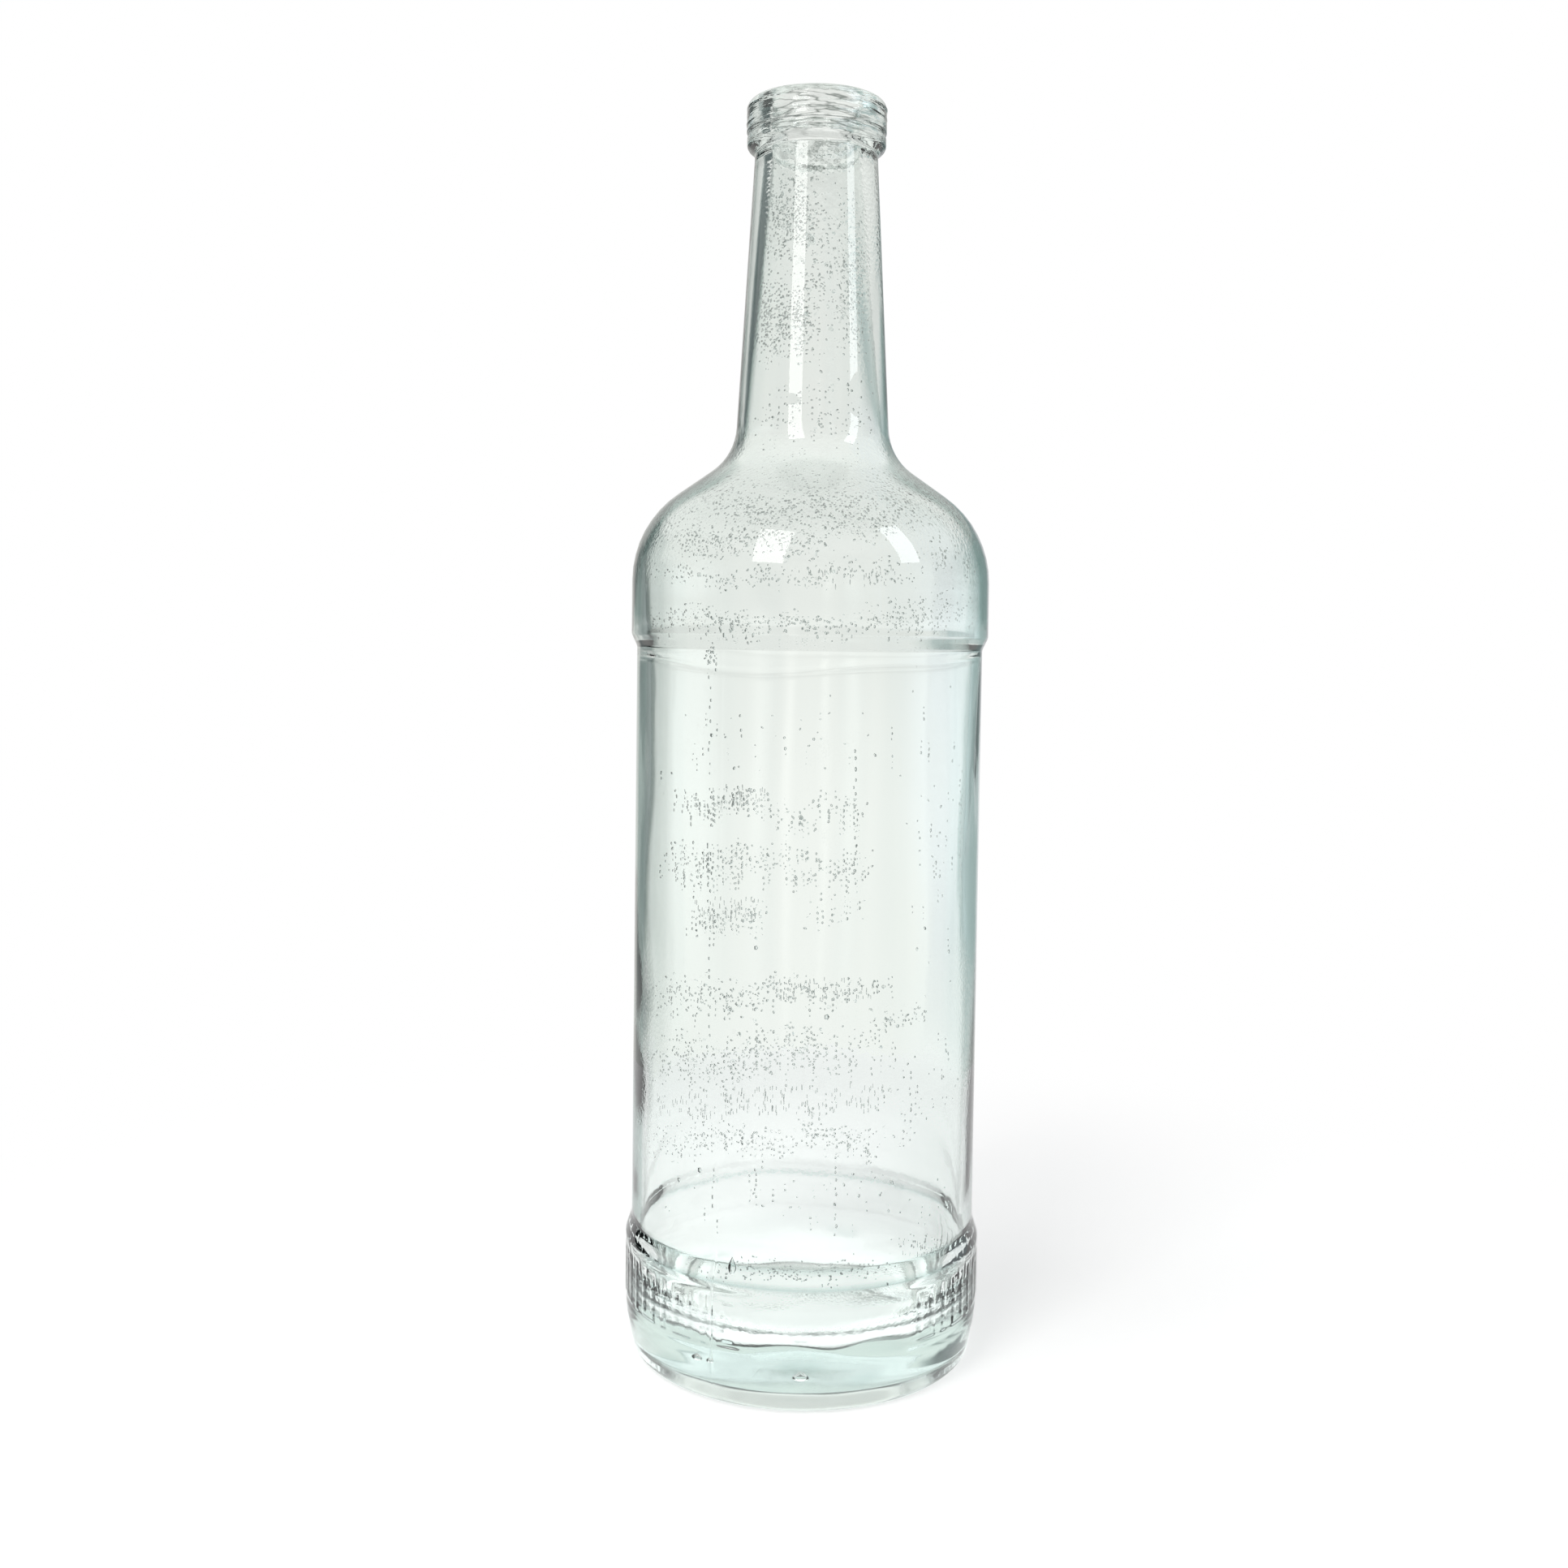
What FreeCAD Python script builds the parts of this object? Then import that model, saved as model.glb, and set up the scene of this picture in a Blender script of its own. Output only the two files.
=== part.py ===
import FreeCAD
import Part
import Sketcher
import os

# A clear glass one-litre bottle, blown in a mould as one piece: a label panel sunk between a heel band
# and a shoulder band, a round shoulder, a long tapered neck and a rounded lip over a carrying bead.
# Millimetres, +Z up, the origin is the centre of the ring that the bottle stands on.

SIZES = {
    # Standing ring and the push-up under the base
    "bearing_width": 5.7,
    "bearing_edge_radius": 1.0,
    "push_up_run": 5.0,
    "push_up_edge_height": 3.0,
    "push_up_edge_radius": 6.0,
    "push_up_height": 4.5,
    # Heel band and the ledge above it
    "band_radius": 44.1,
    "heel_inset": 2.4,
    "heel_corner_radius": 3.5,
    "heel_turn_height": 9.8,
    "heel_curve_radius": 45.0,
    "heel_band_height": 29.8,
    "heel_ledge_height": 5.0,
    "heel_ledge_top_radius": 8.0,
    "heel_ledge_foot_radius": 3.0,
    # Label panel and the step up to the shoulder band
    "panel_recess": 1.4,
    "panel_height": 140.7,
    "step_height": 1.8,
    "step_foot_radius": 1.0,
    "step_edge_radius": 0.7,
    # Shoulder
    "shoulder_band_height": 27.2,
    "shoulder_radius": 25.5,
    "shoulder_cone_height": 17.5,
    # Neck
    "neck_root_radius": 19.2,
    "neck_root_curve": 14.4,
    "neck_height": 73.6,
    "neck_top_wall": 4.1,
    # Finish: carrying bead, groove and lip round the mouth
    "neck_top_fillet": 0.8,
    "bead_wall": 6.1,
    "bead_flare_height": 1.6,
    "bead_height": 2.5,
    "bead_under_radius": 1.6,
    "bead_top_radius": 0.4,
    "groove_depth": 0.8,
    "groove_height": 0.9,
    "lip_wall": 6.2,
    "lip_height": 7.9,
    "lip_under_radius": 0.5,
    "lip_top_radius": 2.2,
    # Inside: the mouth's bore and the blown walls
    "mouth_bore_radius": 11.0,
    "mouth_bore_depth": 15.0,
    "mouth_edge_radius": 1.6,
    "bore_blend_radius": 25.0,
    "neck_root_wall": 1.45,
    "shoulder_roof": 3.4,
    "shoulder_wall": 3.4,
    "panel_wall": 2.8,
    "heel_wall": 3.7,
    "wall_blend": 4.0,
    "wall_blend_radius": 20.0,
    "base_thickness": 8.0,
    "floor_dish": 2.0,
    "floor_corner_radius": 10.0,
}

# The bottle's lengths in the order in which they stack up from the surface it stands on
STACK = [
    "heel_band_height", "heel_ledge_height", "panel_height", "step_height", "shoulder_band_height",
    "shoulder_cone_height", "neck_height", "bead_flare_height", "bead_height", "groove_height",
    "lip_height",
]

RADIAL_AXIS = -1
TURN_AXIS = -2


def make_sheet(doc):
    sheet = doc.addObject("Spreadsheet::Sheet", "Sizes")
    for row, (name, millimetres) in enumerate(SIZES.items(), start=1):
        sheet.set(f"A{row}", name)
        sheet.set(f"B{row}", str(millimetres))
        sheet.setAlias(f"B{row}", name)
    doc.recompute()
    return sheet


def size(name):
    return f"Sizes.{name}"


def start_of(line):
    return (line, 1)


def end_of(line):
    return (line, 2)


def top_of(name):
    """Height of the upper end of one length of the stack."""
    stacked = STACK[:STACK.index(name) + 1]
    return " + ".join(size(length) for length in stacked)


def outside_corners():
    """Sharp corners of the mould's outline, each as radius, height and rounding."""
    band = size("band_radius")
    panel = f"{band} - {size('panel_recess')}"
    bore = size("mouth_bore_radius")
    neck_top = f"{bore} + {size('neck_top_wall')}"
    bead = f"{bore} + {size('bead_wall')}"
    lip = f"{bore} + {size('lip_wall')}"
    groove = f"{lip} - {size('groove_depth')}"
    heel = f"{band} - {size('heel_inset')}"
    bearing = f"{heel} - {size('bearing_width')}"
    return [
        ("0", size("push_up_height"), None),
        (f"{bearing} - {size('push_up_run')}", size("push_up_edge_height"), size("push_up_edge_radius")),
        (bearing, "0", size("bearing_edge_radius")),
        (heel, "0", size("heel_corner_radius")),
        (band, size("heel_turn_height"), size("heel_curve_radius")),
        (band, top_of("heel_band_height"), size("heel_ledge_foot_radius")),
        (panel, top_of("heel_ledge_height"), size("heel_ledge_top_radius")),
        (panel, top_of("panel_height"), size("step_foot_radius")),
        (band, top_of("step_height"), size("step_edge_radius")),
        (band, top_of("shoulder_band_height"), size("shoulder_radius")),
        (size("neck_root_radius"), top_of("shoulder_cone_height"), size("neck_root_curve")),
        (neck_top, top_of("neck_height"), size("neck_top_fillet")),
        (bead, top_of("bead_flare_height"), size("bead_under_radius")),
        (bead, top_of("bead_height"), size("bead_top_radius")),
        (groove, top_of("bead_height"), None),
        (groove, top_of("groove_height"), None),
        (lip, top_of("groove_height"), size("lip_under_radius")),
        (lip, top_of("lip_height"), size("lip_top_radius")),
        ("0", top_of("lip_height"), None),
    ]


def inside_corners():
    """Sharp corners of the blown cavity, which follows the mould at its own wall thicknesses."""
    band = size("band_radius")
    heel = f"{band} - {size('heel_wall')}"
    panel = f"{band} - {size('panel_recess')} - {size('panel_wall')}"
    shoulder = f"{band} - {size('shoulder_wall')}"
    neck_root = f"{size('neck_root_radius')} - {size('neck_root_wall')}"
    cone_slope = f"{size('shoulder_cone_height')} / ({band} - {size('neck_root_radius')})"
    roof = size("shoulder_roof")
    floor = f"{size('push_up_height')} + {size('base_thickness')}"
    blend = size("wall_blend")
    soft = size("wall_blend_radius")
    shoulder_top = f"{top_of('shoulder_band_height')} + {size('shoulder_wall')} * {cone_slope} - {roof}"
    neck_foot = f"{top_of('shoulder_cone_height')} + {size('neck_root_wall')} * {cone_slope} - {roof}"
    bore_end = f"{top_of('lip_height')} - {size('mouth_bore_depth')}"
    return [
        ("0", floor, None),
        (heel, f"{floor} - {size('floor_dish')}", size("floor_corner_radius")),
        (heel, top_of("heel_band_height"), soft),
        (panel, f"{top_of('heel_ledge_height')} + {blend}", soft),
        (panel, f"{top_of('panel_height')} - {blend}", soft),
        (shoulder, f"{top_of('step_height')} + {blend}", soft),
        (shoulder, shoulder_top, f"{size('shoulder_radius')} - {size('shoulder_wall')}"),
        (neck_root, neck_foot, f"{size('neck_root_curve')} + {size('neck_root_wall')}"),
        (size("mouth_bore_radius"), bore_end, size("bore_blend_radius")),
        (size("mouth_bore_radius"), top_of("lip_height"), None),
        ("0", top_of("lip_height"), None),
    ]


def place(sketch, point, axis, distance):
    """Dimension a point's radius or height, or put it on the axis where that is nothing."""
    if distance == "0":
        on_axis = TURN_AXIS if axis == "DistanceX" else RADIAL_AXIS
        sketch.addConstraint(Sketcher.Constraint("PointOnObject", *point, on_axis))
        return
    value = float(sketch.evalExpression(distance))
    origin = start_of(RADIAL_AXIS)
    index = sketch.addConstraint(Sketcher.Constraint(axis, *origin, *point, value))
    sketch.setExpression(f"Constraints[{index}]", distance)


def round_corner(sketch, line, radius):
    """Round the start of a line, and return the point that keeps its sharp corner."""
    value = float(sketch.evalExpression(radius))
    sketch.fillet(*start_of(line), value, True, True)
    corner = sketch.GeometryCount - 1
    arc = corner - 1
    index = sketch.addConstraint(Sketcher.Constraint("Radius", arc, value))
    sketch.setExpression(f"Constraints[{index}]", radius)
    return start_of(corner)


def draw_half_section(body, name, corners):
    """A closed half section on the XZ plane, with each corner dimensioned from the turning axis."""
    sketch = body.newObject("Sketcher::SketchObject", name)
    plane = next(feature for feature in body.Origin.OriginFeatures if feature.Role == "XZ_Plane")
    sketch.AttachmentSupport = (plane, [""])
    sketch.MapMode = "FlatFace"
    points = []
    for radius, height, _ in corners:
        x = float(sketch.evalExpression(radius))
        y = float(sketch.evalExpression(height))
        points.append(FreeCAD.Vector(x, y, 0))
    count = len(points)
    for line in range(count):
        sketch.addGeometry(Part.LineSegment(points[line], points[(line + 1) % count]), False)
    for line in range(count):
        joint = (*end_of(line), *start_of((line + 1) % count))
        sketch.addConstraint(Sketcher.Constraint("Coincident", *joint))
    anchors = []
    for line, (_, _, rounding) in enumerate(corners):
        anchor = start_of(line)
        if rounding:
            anchor = round_corner(sketch, line, rounding)
        anchors.append(anchor)
    for anchor, (radius, height, _) in zip(anchors, corners):
        place(sketch, anchor, "DistanceX", radius)
        place(sketch, anchor, "DistanceY", height)
    return sketch


def turn(body, kind, name, sketch):
    """Revolve a half section all the way round the upright axis."""
    feature = body.newObject(kind, name)
    feature.Profile = sketch
    feature.ReferenceAxis = (sketch, ["V_Axis"])
    feature.Angle = 360.0
    body.Document.recompute()
    return feature


def round_mouth(body, base):
    """Round the inner edge of the lip, where the bore meets the top."""
    radius = float(body.evalExpression(size("mouth_bore_radius")))
    top = float(body.evalExpression(top_of("lip_height")))
    close = 1e-4
    names = []
    for number, edge in enumerate(base.Shape.Edges, start=1):
        if not isinstance(edge.Curve, Part.Circle):
            continue
        at_top = abs(edge.Curve.Center.z - top) < close
        if at_top and abs(edge.Curve.Radius - radius) < close:
            names.append(f"Edge{number}")
    fillet = body.newObject("PartDesign::Fillet", "MouthEdge")
    fillet.Base = (base, names)
    fillet.setExpression("Radius", size("mouth_edge_radius"))
    body.Document.recompute()
    return fillet


def make_bottle(doc):
    body = doc.addObject("PartDesign::Body", "glass_bottle")
    body.Label = "glass_bottle"
    body.Placement = FreeCAD.Placement()
    outline = draw_half_section(body, "MouldOutline", outside_corners())
    blank = turn(body, "PartDesign::Revolution", "MouldedForm", outline)
    blank_volume = blank.Shape.Volume
    cavity = draw_half_section(body, "CavityOutline", inside_corners())
    shell = turn(body, "PartDesign::Groove", "BlownCavity", cavity)
    if shell.Shape.Volume >= blank_volume:
        raise RuntimeError("the cavity cut no glass away")
    round_mouth(body, shell)
    return body


def check(doc, bodies):
    for item in doc.Objects:
        if "Invalid" in item.State or "Error" in item.State:
            raise RuntimeError(f"{item.Label} did not rebuild: {item.State}")
    for body in bodies:
        if body.Shape.isNull() or not body.Shape.isValid():
            raise RuntimeError(f"{body.Label} has no valid shape")
        if len(body.Shape.Solids) != 1:
            raise RuntimeError(f"{body.Label} is not one solid")


doc = FreeCAD.newDocument("glass_bottle_model")
make_sheet(doc)
bodies = [make_bottle(doc)]
doc.recompute()
check(doc, bodies)

os.makedirs("parts", exist_ok=True)
for body in bodies:
    body.Shape.exportStep(f"parts/{body.Label}.step")
    box = body.Shape.BoundBox
    print(f"{body.Label}: {box.XLength:.2f} x {box.YLength:.2f} x {box.ZLength:.2f} mm,"
          f" {body.Shape.Volume / 1000:.1f} cm3 of glass")
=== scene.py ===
import bmesh
import bpy
import cmath
import math
import random
from mathutils import Matrix, Vector
from mathutils.bvhtree import BVHTree


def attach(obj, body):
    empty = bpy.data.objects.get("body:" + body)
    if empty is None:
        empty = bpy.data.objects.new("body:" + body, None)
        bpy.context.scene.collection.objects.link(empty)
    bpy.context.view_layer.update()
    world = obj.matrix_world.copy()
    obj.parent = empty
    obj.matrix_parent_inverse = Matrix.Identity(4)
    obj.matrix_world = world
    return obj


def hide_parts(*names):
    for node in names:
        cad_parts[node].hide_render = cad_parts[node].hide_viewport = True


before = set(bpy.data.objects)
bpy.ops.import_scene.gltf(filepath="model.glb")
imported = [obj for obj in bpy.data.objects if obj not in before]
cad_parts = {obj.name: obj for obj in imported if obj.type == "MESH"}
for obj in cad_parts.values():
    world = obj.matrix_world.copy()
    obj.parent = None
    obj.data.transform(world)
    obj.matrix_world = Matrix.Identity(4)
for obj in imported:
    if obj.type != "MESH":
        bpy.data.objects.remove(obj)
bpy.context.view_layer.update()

MM = 0.001
DEGREE = math.pi / 180
BODY = "root"
NODE = "glass_bottle"

# Photograph's frame and the camera that took it
PHOTO_SIDE = 1932
FOCAL_PIXELS = 2100.0
SENSOR_WIDTH = 36.0
CAMERA_PLACE = Vector((0.0, -0.424, 0.179))
CAMERA_YAW = 0.83 * DEGREE
CAMERA_PITCH = 2.5 * DEGREE
CAMERA_ROLL = 0.78 * DEGREE
CAMERA_SHIFT = -0.05
CAMERA_NEAR = 0.01

# Sharp corners of the moulded outside, from the middle of the push-up to the mouth: radius, height, rounding
OUTSIDE = [
    (0.0, 4.5, 0.0),
    (31.0, 3.0, 6.0),
    (36.0, 0.0, 1.0),
    (41.7, 0.0, 3.5),
    (44.1, 9.8, 45.0),
    (44.1, 29.6, 2.0),
    (42.7, 33.8, 2.2),
    (42.7, 174.9, 2.2),
    (44.1, 177.9, 2.0),
    (44.1, 204.5, 25.5),
    (19.2, 222.0, 14.4),
    (15.1, 295.6, 0.8),
    (17.1, 297.2, 1.6),
    (17.1, 299.7, 0.35),
    (16.4, 299.7, 0.2),
    (16.4, 300.6, 0.2),
    (17.2, 300.6, 0.4),
    (17.2, 308.5, 2.2),
    (11.0, 308.5, 1.6),
]

# Sharp corners of the blown inside, from the mouth down to the middle of the floor
HEEL_INSIDE = 40.4
INSIDE = [
    (11.0, 293.5, 25.0),
    (17.75, 219.6, 15.85),
    (40.7, 203.5, 22.1),
    (40.7, 181.3, 20.0),
    (39.9, 171.5, 20.0),
    (39.9, 38.8, 20.0),
    (HEEL_INSIDE, 29.8, 20.0),
    (HEEL_INSIDE, 10.5, 14.0),
    (0.0, 12.5, 0.0),
]

# The visual skin stays this far inside the solid's outline
SKIN_INSET = 0.04

# Mesh density
COLUMNS = 180
ARC_TURN = 7.0 * DEGREE
ARC_STEP = 0.12
LONG_STEP = 4.5
SHORT_STEP = 1.25
FINE_STEP = 0.75
HEEL_ROWS = (5.0, 36.0)
RIDGE_ROWS = (166.0, 177.0)
FINISH_FOOT = 294.0
FINISH_STEP = 0.45
STEP_SLACK = 0.05
LEAST_RUN = 0.3

# Mould seams: two fine raised lines from the heel to the lip, on opposite sides
SEAM_ANGLES = (-27.6 * DEGREE, 152.4 * DEGREE)
SEAM_HEIGHT = 0.14
SEAM_WIDTH = 0.42
SEAM_COLUMNS = (-0.85, -0.4, 0.0, 0.4, 0.85)
SEAM_FOOT = 3.0
SEAM_TOP = 296.0
SEAM_CLEAR = 0.75
SEAM_FADE = (28.0, 60.0)
SEAM_FAINT = 0.8

# Raised ornament round the heel: upright frames and bars in two runs with a plain gap between them
ORNAMENT_MIDDLE = 20.6
ORNAMENT_HEIGHT = 11.4
ORNAMENT_RELIEF = 0.12
ORNAMENT_GAP_MIDDLE = 10.0 * DEGREE
ORNAMENT_GAP = 52.0 * DEGREE
ORNAMENT_RUN = 84.0 * DEGREE
ORNAMENT_UNITS = 5
ORNAMENT_STROKE = 1.5
ORNAMENT_SLOPE = 0.5
ORNAMENT_FADE = 0.05
ORNAMENT_MARGIN = 0.06
FRAME_WIDTH = 5.6
FRAME_PLACE = 0.36
BAR_PLACE = 0.86
FRIEZE_BAND = (14.0, 27.2)
FRIEZE_SOFT = 1.4
FRIEZE_CUTS = 3
BAND_RADIUS = 44.1
BAND_DEPTH = 1.6

# Bubbles in the glass, in millimetres: angle, radius, foot, height, half width, half depth
BUBBLES = [
    # Drawn out in the ledge over the heel
    (-22.0 * DEGREE, 41.5, 31.0, 4.4, 1.0, 0.45),
    # Flat ones in the base
    (-37.0 * DEGREE, 37.0, 8.4, 1.7, 1.4, 1.0),
    (-31.5 * DEGREE, 37.5, 8.8, 1.2, 0.8, 0.7),
    (0.5 * DEGREE, 35.0, 6.8, 2.1, 1.9, 1.2),
]
BUBBLE_ROWS = 9
BUBBLE_SIDES = 12
BUBBLE_LEAN = 0.75

# Lumps on the floor inside, in millimetres: place across, place back, rise, spread
FLOOR_LUMPS = [
    (-4.0, 23.0, 1.8, 9.0),
    (13.0, 21.0, 1.4, 8.0),
    (-20.0, 18.0, 1.4, 7.0),
    (24.0, 2.0, 1.2, 9.0),
    (-22.0, -22.0, 1.3, 6.0),
    (-2.0, -29.0, 1.6, 6.5),
    (15.0, -27.0, 1.5, 6.0),
    (28.0, -16.0, 1.0, 6.0),
    (-6.0, -8.0, 0.8, 8.0),
]
FLOOR_SWELL = 0.16
SWELL_RISE = (4.0, 26.0)
FLOOR_RIPPLE = 0.06
RIPPLE_RISE = (12.0, 30.0)
FLOOR_EDGE = (33.0, 39.5)
FLOOR_TOP = (22.0, 26.0)
FLOOR_LEAST = 9.0
FLOOR_CORNER = 13.0
WALL_HALF = 0.7

# Waves of the blown inside, in millimetres, and the heights where they come and go
BROAD_WAVE = 0.10
SLOPING_WAVE = 0.07
FINE_WAVE = 0.05
PANEL_WAVE = 0.045
PANEL_RISE = (30.0, 60.0)
WAVE_RISE = (14.0, 40.0)
WAVE_FALL = (205.0, 250.0)

# Thick patch of the wall: depth, its side as middle and spread in degrees, heights where it comes and goes
THICK_DEPTH = 0.75
THICK_SIDE = (-86.0, 15.0)
THICK_RISE = (54.0, 64.0)
THICK_FALL = (96.0, 112.0)

# Ridge round the inside, under the shoulder
RIDGE_HEIGHT = 171.6
RIDGE_SWING = 1.6
RIDGE_DEPTH = 0.16
RIDGE_WIDTH = 0.75

# Waves of the mould's skin on the shoulder and rings on the lip, in millimetres
SHOULDER_DEPTH = 0.07
SHOULDER_ROWS = (192.0, 214.0)
SHOULDER_SOFT = 7.0
RING_DEPTH = 0.12
RING_ROWS = (300.9, 307.4)
RING_ENDS = (0.7, 1.2)
RING_PITCHES = (1.9, 1.25)

# How much painted shade the outside takes at a slant: from a height, to a height, softness, share, more at
# left, at right
EDGE_SHADE_ZONES = [
    (8.0, 29.0, 3.0, 0.15, 0.0, 0.0),
    (30.0, 35.0, 1.0, 0.1, 0.0, 0.0),
    (35.0, 174.0, 1.0, 0.7, 0.30, -0.48),
    (174.0, 179.0, 1.0, 0.25, 0.0, 0.0),
    (179.0, 216.0, 1.0, 1.0, 0.0, 0.0),
    (216.0, 256.0, 1.0, 0.7, 0.0, 0.3),
    (256.0, 295.0, 1.0, 0.5, -0.15, -0.45),
]
LIP_EDGE_SHADE = 0.1
LIP_ROWS = (294.0, 296.0)
SHADE_LEFT = (-95.0, 45.0)
SHADE_RIGHT = (95.0, 45.0)

# The same painted shade in lines down the inside: middle and spread of a side, from a height, to a height,
# softness, share
INNER_SHADE_LINES = [
    (-75.0, 32.0, 222.0, 292.0, 5.0, 1.0),
    (75.0, 32.0, 226.0, 260.0, 6.0, 0.6),
]

# Mist on the inside: heights where it comes, heights where it goes, and its share
NECK_DEW = ((232.0, 250.0), (296.0, 300.0))
NECK_DEW_SHARE = 0.6
SHOULDER_DEW = ((186.0, 205.0), (222.0, 230.0))
SHOULDER_DEW_SHARE = 0.7
PANEL_DEW = ((36.0, 60.0), (90.0, 120.0))
PANEL_DEW_SHARE = 0.18
FLOOR_DEW_FALL = (16.0, 30.0)
FLOOR_DEW_SHARE = 0.8

# Sides of the neck with little mist, as middle and spread in degrees
DRY_LEFT = (-75.0, 38.0)
DRY_RIGHT = (75.0, 38.0)
DRY_RIGHT_FALL = (258.0, 270.0)
DRY_SHARE = 0.9

# Streaks on the finish, scuffed and darkened with painted shade: heights where they come, less at two sides
# and on top of the lip
STREAK_RISE = (294.0, 299.0)
STREAK_SIDES = ((-95.0, 42.0), (95.0, 42.0))
STREAK_SIDES_LESS = 0.85
STREAK_TOP = (305.5, 307.5)
STREAK_TOP_LESS = 0.6

# Painted shade in teal-grey rings on the ledge: from a height, to a height, share, more in front
LEDGE_SHADE_RINGS = [
    (29.3, 30.1, 0.8, 0.15),
    (33.3, 34.1, 0.35, 1.0),
]
LEDGE_SHADE_SOFT = 0.5

# Patches of the same colour low on the heel
PATCH_SHARE = 0.5
PATCH_ROWS = (6.0, 13.0)
PATCH_ROWS_SOFT = 2.5
PATCH_LEVELS = (0.9, 2.2)

# Dull, plain glass: heights on the floor inside, and on the foot with its share
FLOOR_CHILL = (15.0, 24.0)
FOOT_CHILL = (3.5, 5.0)
FOOT_SHARE = 0.3


def smooth(value, low, high):
    """Soft step from 0 at low to 1 at high."""
    share = min(1.0, max(0.0, (value - low) / (high - low)))
    return share * share * (3.0 - 2.0 * share)


def between(height, low, high, soft):
    """Soft-edged share of a band of heights."""
    return smooth(height, low - soft, low + soft) - smooth(height, high - soft, high + soft)


def come_and_go(height, rise, fall):
    """Share that comes over one range of heights and goes over another."""
    return smooth(height, *rise) * (1.0 - smooth(height, *fall))


def side_share(angle, middle, spread):
    """How near an angle lies to the middle of a side, in degrees, from 1 there down to 0."""
    aside = math.remainder(angle - middle * DEGREE, 2 * math.pi) / (spread * DEGREE)
    return math.exp(-aside * aside)


def step_for(height, is_inside):
    """Longest straight run of the half section at a height."""
    if HEEL_ROWS[0] < height < HEEL_ROWS[1]:
        return SHORT_STEP
    if is_inside and RIDGE_ROWS[0] < height < RIDGE_ROWS[1]:
        return FINE_STEP
    if height > FINISH_FOOT and not is_inside:
        return FINISH_STEP
    return LONG_STEP


def rounded(corners):
    """Points along a half section through sharp corners, each rounded by its own radius."""
    places = [complex(radius, height) for radius, height, _ in corners]
    path = [places[0]]
    for index in range(1, len(corners) - 1):
        here = places[index]
        radius = corners[index][2]
        back = places[index - 1] - here
        ahead = places[index + 1] - here
        back /= abs(back)
        ahead /= abs(ahead)
        half = abs(cmath.phase(ahead / back)) / 2
        reach = radius / math.tan(half)
        middle = (back + ahead) / abs(back + ahead)
        centre = here + middle * radius / math.sin(half)
        start = here + back * reach
        end = here + ahead * reach
        turn = cmath.phase((end - centre) / (start - centre))
        steps = math.ceil(min(abs(turn) / ARC_TURN, abs(turn) * radius / ARC_STEP))
        steps = max(2, steps)
        for step in range(steps + 1):
            path.append(centre + (start - centre) * cmath.exp(1j * turn * step / steps))
    path.append(places[-1])
    return path


def divided(path, is_inside):
    """The same points with long straight runs divided."""
    points = [path[0]]
    for start, end in zip(path, path[1:]):
        height = (start.imag + end.imag) / 2
        parts = max(1, math.ceil(abs(end - start) / step_for(height, is_inside) - STEP_SLACK))
        for part in range(1, parts + 1):
            points.append(start + (end - start) * part / parts)
    return points


def cut_at(path, heights):
    """The same points with one more where a straight run passes each height."""
    points = [path[0]]
    for start, end in zip(path, path[1:]):
        low, high = sorted((start.imag, end.imag))
        inside = [height for height in heights if low + LEAST_RUN < height < high - LEAST_RUN]
        inside.sort(reverse=end.imag < start.imag)
        for height in inside:
            share = (height - start.imag) / (end.imag - start.imag)
            points.append(start + (end - start) * share)
        points.append(end)
    return points


def radius_at(path, height):
    """Radius of a half section where it passes a height, on its first way up or down."""
    for start, end in zip(path, path[1:]):
        low, high = sorted((start.imag, end.imag))
        if low <= height <= high and high > low:
            share = (height - start.imag) / (end.imag - start.imag)
            return start.real + (end.real - start.real) * share
    raise ValueError(f"the section does not pass {height}")


def from_seam(angle):
    """How far round the bottle the nearest mould seam lies."""
    return min(abs(math.remainder(angle - seam, 2 * math.pi)) for seam in SEAM_ANGLES)


def column_angles():
    """Angles of the mesh's columns, closer together at the mould seams."""
    angles = []
    spacing = 2 * math.pi / COLUMNS
    for column in range(COLUMNS):
        angle = column * spacing
        if from_seam(angle) > spacing * SEAM_CLEAR:
            angles.append(angle)
    for seam in SEAM_ANGLES:
        for offset in SEAM_COLUMNS:
            angles.append((seam + offset / BAND_RADIUS) % (2 * math.pi))
    return sorted(angles)


def seam_ridge(angle, height):
    """How far the mould seams stand out."""
    if not SEAM_FOOT < height < SEAM_TOP:
        return 0.0
    faint = 1.0 - SEAM_FAINT * smooth(height, *SEAM_FADE)
    return SEAM_HEIGHT * faint * (1.0 - smooth(from_seam(angle) * BAND_RADIUS, 0.0, SEAM_WIDTH))


def from_gap(angle):
    """How far along its run of the ornament an angle lies, from the plain gap on."""
    return abs(math.remainder(angle - ORNAMENT_GAP_MIDDLE, 2 * math.pi)) - ORNAMENT_GAP / 2


def ornament(angle, height):
    """Share of the full relief of the heel's ornament at a place on the band."""
    if not 0.0 < from_gap(angle) < ORNAMENT_RUN:
        return 0.0
    pitch = ORNAMENT_RUN / ORNAMENT_UNITS
    along = (from_gap(angle) % pitch) * BAND_RADIUS
    unit = pitch * BAND_RADIUS
    inset = ORNAMENT_STROKE / 2
    above = abs(height - ORNAMENT_MIDDLE) - ORNAMENT_HEIGHT / 2 + inset
    frame_side = abs(along - unit * FRAME_PLACE) - FRAME_WIDTH / 2 + inset
    outer_frame = abs(max(frame_side, above))
    bar = max(abs(along - unit * BAR_PLACE), above)
    distance = min(outer_frame, bar)
    return 1.0 - smooth(distance, inset - ORNAMENT_SLOPE / 2, inset + ORNAMENT_SLOPE / 2)


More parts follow.
